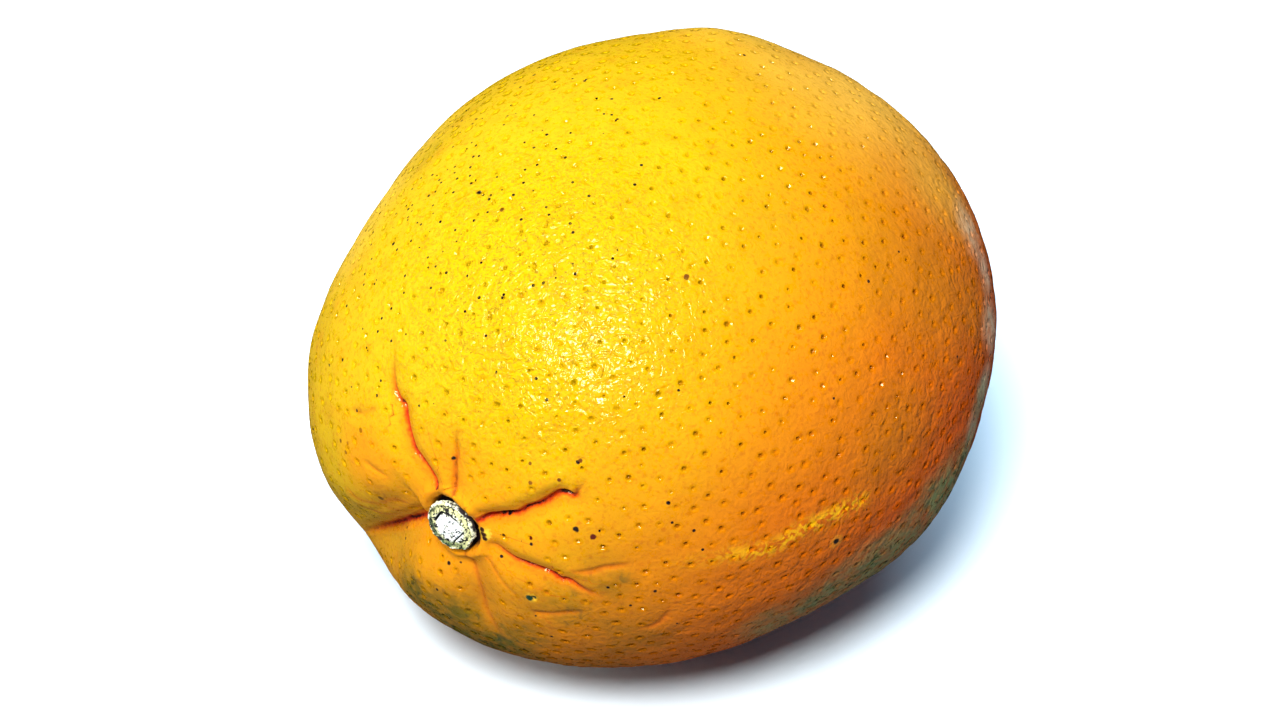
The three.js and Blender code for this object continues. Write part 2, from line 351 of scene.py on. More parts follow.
def closeSeat(fruit, plan):    # the rind comes up close round the stem button, with a low collar
    for less in plan["seatSteps"]:
        refine(fruit, aroundStem(fruit)[0] < plan["seatReach"] - less)
    offAxis, turn = aroundStem(fruit)
    depth, radius, lip = plan["mouldSeat"]
    slow, quick = plan["wallWaves"]
    wander = np.sin(np.radians(slow * turn + plan["wallPhase"])) * np.cos(np.radians(quick * turn))
    wall = withGaps(plan["wallRadius"] + plan["wallWander"] * wander, turn)
    filled = (1 - smoothStep(radius, lip, offAxis)) * smoothStep(wall, wall + plan["wallSlope"], offAxis)
    collar = hump(offAxis - plan["collarRadius"], plan["collarWidth"]) * (offAxis > plan["wallRadius"])
    pushWhere(fruit, "filled", filled, -depth, 'Y')
    pushWhere(fruit, "collar", collar, -plan["collarRise"], 'Y')
    soft = (offAxis < plan["seatReach"] + plan["softenOutside"]) & (offAxis > wall + plan["softenInside"])
    smoothWhere(fruit, "soften", soft, plan["softenRounds"])


def allCreases():    # the creases, and the wrinkles as fine creases with a lip
    fine = [{**wrinkleShape, "fold": depth, "lip": wrinkleLip * depth, "path": path}
            for depth, path in wrinkles.values()]
    return [{"fadeIn": creaseShape["fadeIn"], **crease} for crease in creases.values()] + fine


def creaseField(fruit):    # at each vertex: offset from the nearest fold, its strength, how far in and out
    units, radii = rindPlaces(fruit)
    offAxis, _ = aroundStem(fruit)
    started = smoothStep(*fruitPlan["creaseStart"], offAxis)
    nearest = np.full(len(units), farAway)
    strength, sunk, swollen = np.zeros((3, len(units)))
    for crease in allCreases():
        along, offset = besidePath(units, radii, smoothPath(crease["path"]))
        live = (1 - smoothStep(crease["full"], 1, along)) * smoothStep(0, crease["fadeIn"], along)
        live = live * (np.abs(offset) < creaseShape["reach"])
        strong = min(1, (crease["fold"] / creaseShape["strongFold"]) ** creaseShape["strongCurve"])
        closer = np.abs(offset) < np.abs(nearest)
        nearest = np.where(closer, offset, nearest)
        strength = np.where(closer, live * strong, strength)
        sharp = crease["fold"] * np.clip(1 - np.abs(offset) / creaseShape["foldWidth"], 0, 1)
        valley = crease["valley"] * creaseShape["valleyShare"] * hump(offset, crease["width"])
        sunk = np.maximum(sunk, live * started * (valley + sharp))
        side = np.sign(crease["lip"]) * creaseShape["lipOffset"]
        lip = abs(crease["lip"]) * hump(offset - side, creaseShape["lipWidth"])
        swollen = np.maximum(swollen, live * lip)
    return nearest, strength, sunk, swollen


def refineCreases(fruit, plan):
    for reach in plan["creaseReaches"]:
        offset, strength, _, _ = creaseField(fruit)
        refine(fruit, (np.abs(offset) < reach) & (strength > creaseShape["faint"]))


def foldCreases(fruit, plan):
    _, _, sunk, swollen = creaseField(fruit)
    units, radii = rindPlaces(fruit)
    fromBlossom = np.arccos(np.clip(units @ direction(180, 0), -1, 1)) * radii / mm
    sunk = np.maximum(sunk, plan["blossomDepth"] * hump(fromBlossom, plan["blossomWidth"]))
    pushWhere(fruit, "sunk", sunk / sunk.max(), -sunk.max())
    pushWhere(fruit, "swollen", swollen / swollen.max(), swollen.max())


def waveSurface(fruit, plan):
    lifted = smoothStep(*plan["waveLift"], pointsOf(fruit)[:, 2] / mm)
    roughenWhere(fruit, "waves", lifted, 'CLOUDS', plan["waveHeight"], plan["waveSize"], noise_depth=1)


def pebbleSurface(fruit, plan):    # coarser skin towards the underside
    units, _ = rindPlaces(fruit)
    offAxis, _ = aroundStem(fruit)
    lifted = smoothStep(*plan["pebbleLift"], pointsOf(fruit)[:, 2] / mm)
    lifted = lifted * smoothStep(*plan["pebbleStart"], offAxis)
    weights = lifted * (plan["pebbleTop"] + (1 - plan["pebbleTop"]) * lowSide(units))
    roughenWhere(fruit, "pebbles", weights, 'CLOUDS', plan["pebbleHeight"], plan["pebbleSize"], noise_depth=1)


def edgePairs(piece):
    pairs = np.empty(len(piece.data.edges) * 2, np.int32)
    piece.data.edges.foreach_get("vertices", pairs)
    return pairs.reshape(-1, 2)


def shortestEdges(fruit):    # the shortest edge at each vertex, in mm
    pairs = edgePairs(fruit)
    points = pointsOf(fruit) / mm
    lengths = np.linalg.norm(points[pairs[:, 0]] - points[pairs[:, 1]], axis=1)
    shortest = np.full(len(points), farAway)
    np.minimum.at(shortest, pairs[:, 0], lengths)
    np.minimum.at(shortest, pairs[:, 1], lengths)
    return shortest


def choosePits(fruit, plan):    # vertices for the pits, kept apart from each other, in a size for each
    rng = np.random.default_rng(plan["pitSeed"])
    points = pointsOf(fruit) / mm
    offset, _, _, _ = creaseField(fruit)
    offAxis, _ = aroundStem(fruit)
    allowed = (offAxis > plan["seatReach"]) & (points[:, 2] > plan["pitRest"])
    allowed &= (np.abs(offset) > plan["pitFold"]) & (shortestEdges(fruit) > plan["pitEdge"])
    tree = growTree(points)
    sizes = np.full(len(points), -1)
    order = rng.permutation(np.nonzero(allowed)[0])
    spacing = plan["pitSpacing"] * rng.uniform(*plan["pitScatter"], len(points))
    kind = rng.choice(len(plan["pitSizes"]), len(points), p=plan["pitShares"])
    for index in order:
        if allowed[index]:
            sizes[index] = kind[index]
            for _, other, _ in tree.find_range(Vector(points[index]), spacing[index]):
                allowed[other] = False
    return sizes


# While the pits are pressed, pitSize is 1, 2 or 3 at a vertex that a pit will take, and -1, -2 or -3 at the
# middle of a pit that is there.
def pitSizesOf(fruit):
    sizes = np.empty(len(fruit.data.vertices), np.int32)
    fruit.data.attributes["pitSize"].data.foreach_get("value", sizes)
    return sizes


def markPits(fruit, chosen, size):
    sizes = pitSizesOf(fruit)
    sizes[chosen] = size
    fruit.data.attributes["pitSize"].data.foreach_set("value", sizes)


def pressPits(fruit, plan):    # each vertex is bevelled into a small face, whose middle is pressed in
    sizes = choosePits(fruit, plan)
    fruit.data.attributes.new("pitSize", 'INT', 'POINT').data.foreach_set("value", sizes + 1)
    counts = []
    for kind, (size, depth) in enumerate(zip(plan["pitSizes"], plan["pitDepths"]), start=1):
        openEdit(fruit, pitSizesOf(fruit) == kind)
        bpy.ops.mesh.bevel(offset=size * mm, affect='VERTICES', segments=1, clamp_overlap=True)
        closeEdit()
        rims = selectedOf(fruit)
        markPits(fruit, rims, 0)
        openEdit(fruit, rims)
        bpy.ops.mesh.poke(offset=-depth * mm, use_relative_offset=False)
        bpy.ops.mesh.select_less()
        closeEdit()
        middles = selectedOf(fruit)
        markPits(fruit, middles, -kind)
        counts.append(int(middles.sum()))
    print("pits pressed", counts)


def storeFolds(fruit, plan):    # fold offset and strength, and the rub mark
    units, radii = rindPlaces(fruit)
    offset, strength, _, _ = creaseField(fruit)
    storeValues(fruit, "foldOffset", offset)
    storeValues(fruit, "foldStrength", strength * hump(offset, plan["foldGlow"]))
    along, beside = besidePath(units, radii, smoothPath(rubPath))
    start, full, fade = plan["rubFade"]
    strong = smoothStep(start, full, along) * (1 - smoothStep(fade, 1, along))
    strong = strong * (np.abs(beside) < creaseShape["reach"])
    storeValues(fruit, "rub", strong * hump(beside, plan["rubWidth"]))


def storePits(fruit, plan):    # how dark each pit is, at its middle and its rim, and where the middles are
    sizes = pitSizesOf(fruit)
    rng = np.random.default_rng(plan["pitSeed"])
    middles = np.nonzero(sizes < 0)[0]
    inside = np.zeros(len(sizes))
    inside[middles] = rng.uniform(*plan["pitTone"], len(middles)) ** plan["pitToneCurve"]
    pairs = edgePairs(fruit)
    for near, far in ((pairs[:, 0], pairs[:, 1]), (pairs[:, 1], pairs[:, 0])):
        inside[far] = np.where(sizes[near] < 0, inside[near], inside[far])
    storeValues(fruit, "pit", inside)
    storeValues(fruit, "pitMiddle", sizes < 0)
    fruit.data.attributes.remove(fruit.data.attributes["pitSize"])


def storePaintedSeatShade(fruit, plan):    # the dark gap round the button: partly the rind's own dark colour, partly painted shade
    offAxis, turn = aroundStem(fruit)
    shade = plan["seatShade"]
    edge = plan["wallRadius"] + shade["past"]
    for waves in shade["waves"]:
        edge = edge + shade["waver"] * np.sin(np.radians(waves * turn))
    edge = edge - shade["sideLess"] * hump(turn - shade["side"], shade["sideSpread"])
    edge = withGaps(edge, turn)
    # the seat value marks painted shade over the rind's own darker colour in the gap round the button
    storeValues(fruit, "seat", 1 - smoothStep(edge, edge + shade["soft"], offAxis))


def makeFruit(plan):
    fruit = wrapBall(plan)
    settleSurface(fruit, plan)
    closeSeat(fruit, plan)
    print("rind wrapped", len(fruit.data.vertices))
    refineCreases(fruit, plan)
    foldCreases(fruit, plan)
    waveSurface(fruit, plan)
    pebbleSurface(fruit, plan)
    print("creases folded", len(fruit.data.vertices))
    pressPits(fruit, plan)
    mesh = fruit.data
    triangles = sum(len(face.vertices) - 2 for face in mesh.polygons)
    print("fruit", len(mesh.vertices), "vertices", triangles, "triangles")
    pick(fruit)
    fruit.vertex_groups.clear()
    bpy.ops.object.shade_smooth()
    storeFolds(fruit, plan)
    storePits(fruit, plan)
    storePaintedSeatShade(fruit, plan)
    return fruit


cameraPlan = {
    "turn": 32.4, "rise": 35.8,    # degrees round the fruit from the stem end, and above the table
    "distance": 400, "aimRight": -1.47, "aimUp": -2.27,    # mm
    "lens": 95, "sensor": 36,
    "nearest": 0.01,    # metres
}


def viewAxes(plan):
    turn, rise = math.radians(plan["turn"]), math.radians(plan["rise"])
    right = np.array((math.cos(turn), math.sin(turn), 0))
    back = np.array((math.sin(turn) * math.cos(rise), -math.cos(turn) * math.cos(rise), math.sin(rise)))
    return right, np.cross(back, right), back


def placeCamera(plan):
    right, up, back = viewAxes(plan)
    lens = bpy.data.cameras.new("camera")
    lens.lens = plan["lens"]
    lens.sensor_width = plan["sensor"]
    lens.clip_start = plan["nearest"]
    camera = bpy.data.objects.new("camera", lens)
    bpy.context.scene.collection.objects.link(camera)
    offset = plan["aimRight"] * right + plan["aimUp"] * up + plan["distance"] * back
    camera.location = Vector(fruitCentre + offset * mm)
    camera.rotation_euler = Vector(back).to_track_quat('Z', 'Y').to_euler()
    bpy.context.scene.camera = camera


# The lamp's offset is right, up and back of the fruit. It lights the faces, or is seen in their gloss.
def placeLight(name, offset, size, power, colour, onFaces, inGloss):
    right, up, back = viewAxes(cameraPlan)
    lamp = bpy.data.lights.new(name, 'AREA')
    lamp.shape = 'DISK'
    lamp.size = size
    lamp.energy = power
    lamp.color = colour
    holder = bpy.data.objects.new(name, lamp)
    bpy.context.scene.collection.objects.link(holder)
    holder.location = Vector(fruitCentre + offset[0] * right + offset[1] * up + offset[2] * back)
    holder.rotation_euler = (Vector(fruitCentre) - holder.location).to_track_quat('-Z', 'Y').to_euler()
    holder.visible_diffuse = onFaces
    holder.visible_glossy = inGloss


# The plate of the button is drawn in mm across it: +X, then +Z, from its middle.
buttonPlan = {
    "sides": 60,
    "swell": 0.90,
    "underShare": 0.62,      # radius of the underside, against the button's own
    "sideSteps": ((0.25, 0.93), (0.3, 1), (0.27, 0.96)),    # shares of the button's height and radius
    "rimWidth": 0.20, "rimRise": 0.08,    # mm, as are the lengths below
    "grooveSlope": 0.14, "grooveWidth": 0.20, "grooveDepth": 0.24,
    "plateSlope": 0.16, "plateRise": 0.26,
    "plateShoulder": 0.62, "shoulderRises": (0.10, 0.05, 0.02), "plateMiddle": 0.3,
    "notches": ((0, 10, 0.97), (115, 12, 0.93), (158, 10, 0.97), (205, 8, 0.97), (262, 9, 0.96),
                (335, 12, 0.985)),    # around, spread in degrees, share of the radius that is left
    "notchStart": 0.72,      # share of the radius
    "roundings": 3,
    "arch": ((-2.0, 0.1), (-1.3, 1.31), (-0.89, 1.71), (-0.07, 1.73), (0.46, 1.53), (0.9, 1.3)),
    "crack": ((1.88, 0.02), (1.43, -0.6), (0.62, -1.65), (0.4, -2.16)),
    "stroke": ((-2.4, -0.1), (-1.9, -0.35)),
    "cuts": (("arch", 0.14, 0.46), ("crack", 0.09, 0.36), ("stroke", 0.09, 0.24)),    # half width, depth
    "holes": ((-0.2, 1.62, 0.24), (-0.88, -1.55, 0.17), (-0.56, 0.09, 0.09), (-0.07, -0.5, 0.12),
              (-0.27, -1.26, 0.10), (-0.18, -1.78, 0.13), (-2.15, -0.98, 0.12), (2.08, -0.85, 0.10),
              (2.53, -0.54, 0.09), (0.41, 2.37, 0.1), (0.7, 2.05, 0.1), (-1.7, 1.9, 0.1), (1.6, 1.35, 0.12),
              (2.0, 0.75, 0.1), (-1.0, -0.75, 0.08)),
    "holeDepth": 0.34,
    "crustHeight": 0.20, "crustSize": 0.62, "grainHeight": 0.13, "grainSize": 0.24,
    "crustStart": (0, -0.8), "cutStart": (-0.4, -0.8),    # mm along Y from the underside, where they come in
}

buttonLow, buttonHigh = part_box("stem_button")
buttonRadius = (buttonHigh.x - buttonLow.x) / 2 / mm
buttonHeight = (buttonHigh.y - buttonLow.y) / mm
buttonMiddle = Vector((fruitCentre[0], buttonHigh.y, fruitCentre[2]))    # the middle of its underside


def insetFace(width, depth=0):
    bpy.ops.mesh.inset(thickness=width * mm, depth=depth * mm, use_even_offset=True)


def scaleAcross(share):    # only across the stem axis
    bpy.ops.transform.resize(value=(share, 1, share), center_override=buttonMiddle)


def raiseButton(plan):    # a disc is pulled out into the side, the rolled rim, the groove and the domed plate
    bpy.ops.object.select_all(action='DESELECT')
    bpy.ops.mesh.primitive_circle_add(
        vertices=plan["sides"], radius=buttonRadius * plan["swell"] * plan["underShare"] * mm,
        fill_type='NGON', location=buttonMiddle, rotation=(math.pi / 2, 0, 0))
    button = bpy.context.object
    button.name = button.data.name = "stemButton"
    bpy.ops.object.transform_apply(location=True, rotation=True, scale=True)
    bpy.ops.object.mode_set(mode='EDIT')
    bpy.ops.mesh.select_mode(type='FACE')
    bpy.ops.mesh.select_all(action='SELECT')
    reached = plan["underShare"]
    for rise, share in plan["sideSteps"]:
        move = (0, -rise * buttonHeight * mm, 0)
        bpy.ops.mesh.extrude_region_move(TRANSFORM_OT_translate={"value": move})
        scaleAcross(share / reached)
        reached = share
    insetFace(plan["rimWidth"], plan["rimRise"])
    insetFace(plan["grooveSlope"], -plan["grooveDepth"])
    insetFace(plan["grooveWidth"])
    insetFace(plan["plateSlope"], plan["plateRise"])
    for rise in plan["shoulderRises"]:
        insetFace(plan["plateShoulder"], rise)
    insetFace(plan["plateMiddle"])
    bpy.ops.mesh.poke()
    bpy.ops.mesh.select_all(action='SELECT')
    bpy.ops.mesh.normals_make_consistent(inside=False)
    closeEdit()
    return button


def fromButton(button):    # mm from the middle of the button's underside
    return (pointsOf(button) - np.array(buttonMiddle)) / mm


def notchEdge(button, plan):    # the outline is pressed in here and there
    across = fromButton(button)
    turns = np.degrees(np.arctan2(across[:, 0], across[:, 2])) % 360
    reach = buttonRadius * plan["swell"] * plan["notchStart"]
    outside = np.hypot(across[:, 0], across[:, 2]) > reach
    for notch, spread, share in plan["notches"]:
        openEdit(button, outside & (np.abs(turnFrom(turns, notch)) < spread))
        scaleAcross(share)
        closeEdit()


def plateDistance(across, path):    # mm from each point of the plate to a line through the path's corners
    nearest = np.full(len(across), farAway)
    for start, end in zip(path[:-1], path[1:]):
        start, way = np.array(start), np.array(end) - np.array(start)
        share = np.clip((across - start) @ way / (way @ way), 0, 1)
        nearest = np.minimum(nearest, np.linalg.norm(across - start - share[:, None] * way, axis=1))
    return nearest


def crustButton(button, plan):
    raised = smoothStep(*plan["crustStart"], fromButton(button)[:, 1])
    roughenWhere(button, "buttonCrust", raised, 'VORONOI', plan["crustHeight"], plan["crustSize"])
    roughenWhere(button, "buttonGrain", raised, 'CLOUDS', plan["grainHeight"], plan["grainSize"])


def cutPlate(button, plan):    # the cracks and holes of the dry scar
    across = fromButton(button)
    plate = across[:, (0, 2)]
    depths = np.zeros(len(plate))
    for name, width, depth in plan["cuts"]:
        depths = np.maximum(depths, depth * hump(plateDistance(plate, plan[name]), width))
    for x, z, size in plan["holes"]:
        away = np.hypot(plate[:, 0] - x, plate[:, 1] - z)
        depths = np.maximum(depths, plan["holeDepth"] * hump(away, size))
    deepest = depths.max()
    cut = smoothStep(*plan["cutStart"], across[:, 1]) * depths / deepest
    pushWhere(button, "cuts", cut, deepest, 'Y')
    storeValues(button, "cut", cut)


def makeButton(plan):
    button = raiseButton(plan)
    notchEdge(button, plan)
    runModifier(button, 'SUBSURF', levels=plan["roundings"], render_levels=plan["roundings"])
    crustButton(button, plan)
    cutPlate(button, plan)
    pick(button)
    button.vertex_groups.clear()
    bpy.ops.object.shade_smooth()
    print("button", len(button.data.vertices), "vertices")
    return button


def setInputs(tree, made, inputs):    # each input gets a link or a plain value
    for name, value in inputs.items():
        if isinstance(value, bpy.types.NodeSocket):
            tree.links.new(value, made.inputs[name])
        else:
            made.inputs[name].default_value = value


def addNode(tree, kind, inputs=(), **settings):
    made = tree.nodes.new(kind)
    for name, value in settings.items():
        setattr(made, name, value)
    setInputs(tree, made, dict(inputs))
    return made


def maths(tree, operation, *values):
    return addNode(tree, "ShaderNodeMath", dict(enumerate(values)), operation=operation).outputs[0]


def times(tree, first, second):
    return maths(tree, 'MULTIPLY', first, second)


def scaled(tree, value, by, plus):
    return maths(tree, 'MULTIPLY_ADD', value, by, plus)


def centred(tree, value, size):    # a 0 to 1 value as plus and minus half the size
    return times(tree, maths(tree, 'SUBTRACT', value, 0.5), size)


def vectorMaths(tree, operation, *values, result="Vector"):
    return addNode(tree, "ShaderNodeVectorMath", dict(enumerate(values)), operation=operation).outputs[result]


def ramped(tree, value, low, high):    # 0 at low, 1 at high, soft between
    settings = {"Value": value, "From Min": low, "From Max": high}
    return addNode(tree, "ShaderNodeMapRange", settings, interpolation_type='SMOOTHSTEP').outputs["Result"]


def blendColour(tree, share, under, over):
    return addNode(tree, "ShaderNodeMix", {0: share, 6: under, 7: over}, data_type='RGBA').outputs[2]


def noiseOf(tree, place, scale, detail=2.0, distortion=0.0):
    settings = {"Vector": place, "Scale": scale, "Detail": detail, "Distortion": distortion}
    return addNode(tree, "ShaderNodeTexNoise", settings).outputs["Fac"]


def noiseRamp(tree, place, noise, low, high):    # noise is its scale, detail and distortion
    return ramped(tree, noiseOf(tree, place, *noise), low, high)


def cellsOf(tree, place, scale, feature='F1'):
    return addNode(tree, "ShaderNodeTexVoronoi", {"Vector": place, "Scale": scale}, feature=feature).outputs


def channelsOf(tree, colour):
    return addNode(tree, "ShaderNodeSeparateColor", {0: colour}).outputs


def vertexValue(tree, name):
    return addNode(tree, "ShaderNodeAttribute", attribute_name=name).outputs["Fac"]


def stretched(tree, place, **settings):
    return addNode(tree, "ShaderNodeMapping", {"Vector": place, **settings}).outputs["Vector"]


def addBump(tree, shader, height, depth):    # depth in mm
    bump = addNode(tree, "ShaderNodeBump", {"Height": height, "Strength": 1.0, "Distance": depth * mm})
    tree.links.new(bump.outputs["Normal"], shader.inputs["Normal"])


def makeSpotGroup():    # a round mark with a ragged edge: 1 in the middle, 0 outside its radius
    group = bpy.data.node_groups.new("raggedSpot", 'ShaderNodeTree')
    for name in ("Place", "Middle"):
        group.interface.new_socket(name=name, in_out='INPUT', socket_type='NodeSocketVector')
    for name in ("Radius", "Softness", "Raggedness"):
        group.interface.new_socket(name=name, in_out='INPUT', socket_type='NodeSocketFloat')
    group.interface.new_socket(name="Mask", in_out='OUTPUT', socket_type='NodeSocketFloat')
    entry = group.nodes.new("NodeGroupInput").outputs
    away = vectorMaths(group, 'DISTANCE', entry["Place"], entry["Middle"], result="Value")
    away = maths(group, 'DIVIDE', away, entry["Radius"])
    edge = maths(group, 'ADD', away, entry["Raggedness"])
    inner = maths(group, 'SUBTRACT', 1.0, entry["Softness"])
    mask = maths(group, 'SUBTRACT', 1.0, ramped(group, edge, inner, 1.0))
    group.links.new(mask, group.nodes.new("NodeGroupOutput").inputs["Mask"])
    return group


def startMaterial(name):
    material = bpy.data.materials.new(name)
    material.use_nodes = True
    return material, material.node_tree, material.node_tree.nodes["Principled BSDF"]


# Marks on the rind: (polar, around, radius in mm, strength), by what they look like.
rindMarks = {
    "black": [(14, 101, 0.30, 1), (11, 62, 0.36, 1), (21.6, 74, 0.42, 1), (64, 96, 0.5, 1),
              (48, -40, 0.3, 1), (56, -19, 0.35, 1), (26, 100, 0.25, 1), (9.5, 79, 0.26, 0.9),
              (33, 100, 0.3, 1), (36, 72, 0.3, 1), (12, -1, 0.34, 1), (26.2, 50, 0.3, 1),
              (9.1, 108, 0.26, 1), (14.2, 82, 0.25, 1), (15.5, -100, 0.5, 0.7), (8.9, -170, 0.34, 1),
              (8.0, 176, 0.2, 0.9), (23.6, -62, 0.25, 1), (180, 0, 0.7, 1)],
    "blossom": [(180, 0, 2.1, 0.8)],
    "holeGreen": [(16, 124, 0.55, 1), (16.6, 121.5, 0.45, 1)],
    "brown": [(5.8, 75, 0.44, 1), (5.85, 83, 0.50, 1), (6.0, 91, 0.44, 1)],
    "darkRed": [(23.9, 78, 0.46, 1), (53, -11, 0.36, 0.9), (58, 32, 0.40, 0.9), (20, 40, 0.26, 0.8),
                (22.4, 52, 0.3, 0.9), (26.6, 50, 0.3, 0.9), (18.2, 47, 0.3, 0.8), (24.1, -80, 0.3, 0.8),
                (22.2, -82, 0.34, 0.6), (22.2, -77, 0.30, 0.5), (20.6, -64, 0.40, 0.6), (14.2, 78, 0.28, 1)],
}
rindRims = [(5.9, 83, 1.15, 1), (16.3, 123, 0.95, 0.5), (64, 96, 1.2, 0.2)]    # pale rims of a few marks
rindPatches = {
    # the pale patches on the upper rims are painted reflection of the bright surroundings
    "paintedSheen": [(132, 26, 24, 0.55), (136, -5, 20, 0.5), (122, 50, 13, 0.4), (57, -60, 9, 0.45),
             (67, -57, 10, 0.5), (79, -54, 10, 0.4)],
    # the frosty patches on the right rim are painted reflection of the pale floor and room
    "paintedRimReflection": [(109, 90, 4, 0.6), (103, 95, 4, 0.5), (116, 81, 5, 0.5), (121, 73, 5, 0.5), (123, 64, 6, 0.4)],
    "olive": [(19, -177, 9, 1), (22, -157, 8, 1), (27, 172, 11, 1), (31, -176, 11, 1),
              (14.5, -97, 4.6, 0.45), (21, 122, 5, 0.55), (17, 131, 4, 0.4), (26, 97, 4.5, 0.45),
              (33, 124, 9, 0.45), (38, 160, 13, 0.5), (77, -41, 8, 0.12), (79, 35, 9, 0.12),
              (24, 152, 6, 0.5), (71, -45, 6, 0.25), (16.5, -168, 5, 0.8), (24, -152, 6, 0.8)],
    "stemGold": [(0, 0, 17, 0.55), (17, -75, 9, 0.5)],
    "dull": [(114, 53, 15, 0.3), (98, 62, 17, 0.5), (78, 80, 12, 0.4), (109, 72, 11, 0.4)],
    "greyGreen": [(107, 92, 5, 0.6), (100, 99, 7, 0.9), (92, 102, 9, 1), (84, 106, 9, 1), (76, 109, 9, 1),
                  (68, 114, 9, 0.9), (60, 121, 8, 0.7), (104, 111, 10, 0.9), (94, 116, 12, 0.9),
                  (82, 121, 12, 0.9), (71, 128, 10, 0.8)],
}
specked = [(60, -25, 26, 1), (40, -40, 15, 0.8), (45, 0, 14, 0.5)]    # where the tiny specks are thickest
waxed = [(43, 8, 28, 1)]        # where the rind is waxy and its grain strongest
streaked = [(36, 2, 8, 1)]      # where its grain is drawn out
rindColours = {
    "stemGold": (0.736, 0.176, 0.001, 1), "dull": (0.352, 0.128, 0.002, 1), "olive": (0.12, 0.088, 0.005, 1),
    # the pale and frosty colours on the next line are painted reflection at the rims
    "greyGreen": (0.175, 0.20, 0.075, 1), "paintedSheen": (0.8, 0.48, 0.06, 1), "paintedRimReflection": (0.64, 0.624, 0.416, 1),
    "blotch": (0.045, 0.050, 0.010, 1), "gland": (0.384, 0.072, 0.001, 1), "blossom": (0.24, 0.104, 0.02, 1),
    "halo": (0.608, 0.12, 0.002, 1), "blush": (0.44, 0.024, 0.001, 1), "foldDark": (0.03, 0.003, 0.003, 1),
    "scar": (0.784, 0.368, 0.003, 1), "pit": (0.12, 0.016, 0.001, 1), "black": (0.008, 0.004, 0.006, 1),
    "holeGreen": (0.01, 0.035, 0.02, 1), "brown": (0.03, 0.004, 0.003, 1), "darkRed": (0.08, 0.005, 0.003, 1),
    # the seat's dark colour on the next line is painted shade in the gap round the button
    # the wax edge colour on the next line is painted shade outlining the glints
    "markRim": (0.8, 0.528, 0.04, 1), "seatPaintedShade": (0.012, 0.004, 0.008, 1), "glintOutlineShade": (0.20, 0.12, 0.001, 1),
    "mottle": (0.592, 0.144, 0.002, 1), "grain": (0.40, 0.09, 0.001, 1),
}
# Ground colour from the underside (0) to the yellow side (1): partly the fruit's own colour, partly painted
# light on the lit side and painted shade underneath.
groundStops = ((0.10, (0.448, 0.048, 0.002, 1)), (0.24, (0.496, 0.068, 0.002, 1)),
               (0.45, (0.544, 0.12, 0.001, 1)), (0.55, (0.544, 0.168, 0.001, 1)),
               (0.66, (0.528, 0.228, 0.001, 1)), (0.80, (0.528, 0.3, 0.001, 1)),
               (0.95, (0.576, 0.344, 0.003, 1)))
# Noises are (scale, detail, distortion). Ramps go from 0 at the first value to 1 at the second. A share is
# how much a colour covers; of two numbers, the mask is multiplied by the first and the second is added.
rindLook = {
    "groundNoise": (45, 3), "groundWander": 0.3,
    "mottleNoise": (320, 4), "mottleRamp": (0.48, 0.8), "mottleShare": 0.25,
    "grainNoise": (2100, 3), "grainRamp": (0.50, 0.72), "grainShare": 0.4,
    "glandScale": 780.0, "glandRamp": (0.34, 0.10), "glandShade": (0.7, -0.3), "glandShare": (0.6, 0.12),
    "patchNoise": (150, 6), "patchRagged": 1.3, "calmNoise": (60, 2), "calmRagged": 0.5, "patchSoft": 0.95,
    "wornNoise": (800, 5), "wornRamp": (0.30, 0.62),
    "blotchNoise": (700, 3, 1.0), "blotchRamp": (0.56, 0.66),
    "pitRamp": (0.25, 0.75), "pitShade": (0.9, 0.0), "pitShare": (0.7, 0.12),
    "foldNoise": (1400, 3), "foldRagged": 0.5,
    "foldColours": (("halo", (1.5, 0.1), 0.6), ("blush", (0.52, 0.12), 1.0)),    # ramp in mm, share
    "foldLine": (0.19, 0.06), "foldBreaks": (520, 3), "foldBreakRamp": (0.40, 0.58),
    "rubNoise": (700, 5, 1.5), "rubRamp": (0.42, 0.56),
    "speckScale": 1100.0, "speckSoft": 0.8, "speckChance": (0.34, 0.02), "speckSize": (0.06, 0.17),
    "markNoise": (2500, 2), "markRagged": 0.7, "markSoft": 0.45, "rimSoft": 0.5, "rimShare": 0.8,
}
reliefLook = {
    "grain": (940, 1, 1.2), "fine": (2600, 2, 0.5), "fineShare": 0.06,
    "waxSoft": 0.85, "waxGrain": 1.05, "lowGrain": 0.4, "evenGrain": 0.22,
    "drawnScale": (260, 1500, 260), "drawnNoise": (1.0, 3, 0.8), "drawnHeight": 0.30,
    "streakTurn": (0.35, 0.75, 0.2), "streakScale": (2600, 2600, 420), "streakNoise": (1.0, 2),
    "streakSoft": 0.9, "streakHeight": 0.5,
    "pitHeight": -1.35,
    "crazeScale": 620.0, "crazeRamp": (0.3, 0.0), "crazeBreaks": (430, 2), "crazeBreakRamp": (0.42, 0.6),
    "crazeHeight": -0.26,
    "wetNoise": (1350, 2, 1.5), "waxWet": 0.16, "wetRamp": (0.56, 0.62),
    # the edge ramps and share give a painted dark outline round the glinting wet spots
    "edgeInner": (0.52, 0.56), "edgeOuter": (0.61, 0.57), "glintOutlineShare": 0.85,
}
rindFinish = {"dry": 0.95, "wet": 0.16, "pitWet": (0.02, 0.12), "specular": 0.30, "tint": (1, 0.95, 0.62, 1),
              "ior": 1.48, "reliefDepth": 0.30}    # relief in mm


def surfacePlace(fruit, polar, around):    # the point of the rind in that direction, in metres
    units, radii = rindPlaces(fruit)
    facing = units @ direction(polar, around)
    return fruitCentre + direction(polar, around) * radii[np.argmax(facing)]


